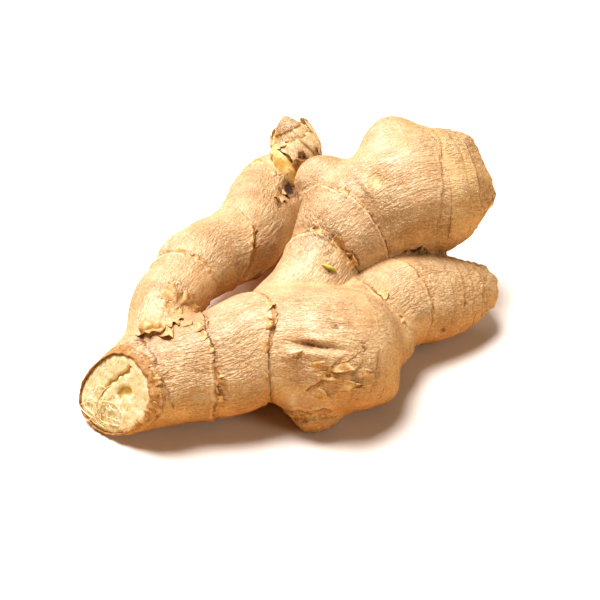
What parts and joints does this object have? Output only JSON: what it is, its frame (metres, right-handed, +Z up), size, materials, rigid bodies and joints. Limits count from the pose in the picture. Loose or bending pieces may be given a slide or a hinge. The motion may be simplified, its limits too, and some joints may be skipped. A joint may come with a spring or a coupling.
{
  "type": "ginger root",
  "caption": "Fresh ginger rhizome of thick knobbly fingers grown as one body, with a knife-cut end, a dry shoot stub and ringed tan skin, lying on its side.",
  "frame": {"origin": "centre of the bounding box at the level of the surface it lies on", "axes": "+Z up, +X towards the tips of the right and upper fingers, +Y away from the knife-cut main finger"},
  "size_m": [0.132, 0.1361, 0.0596],
  "materials": {
    "ginger_skin": "matt cork-like tan skin, pale yellow flesh at the cut"
  },
  "bodies": {
    "root": {"ginger_rhizome": "ginger_skin"}
  },
  "joints": []
}
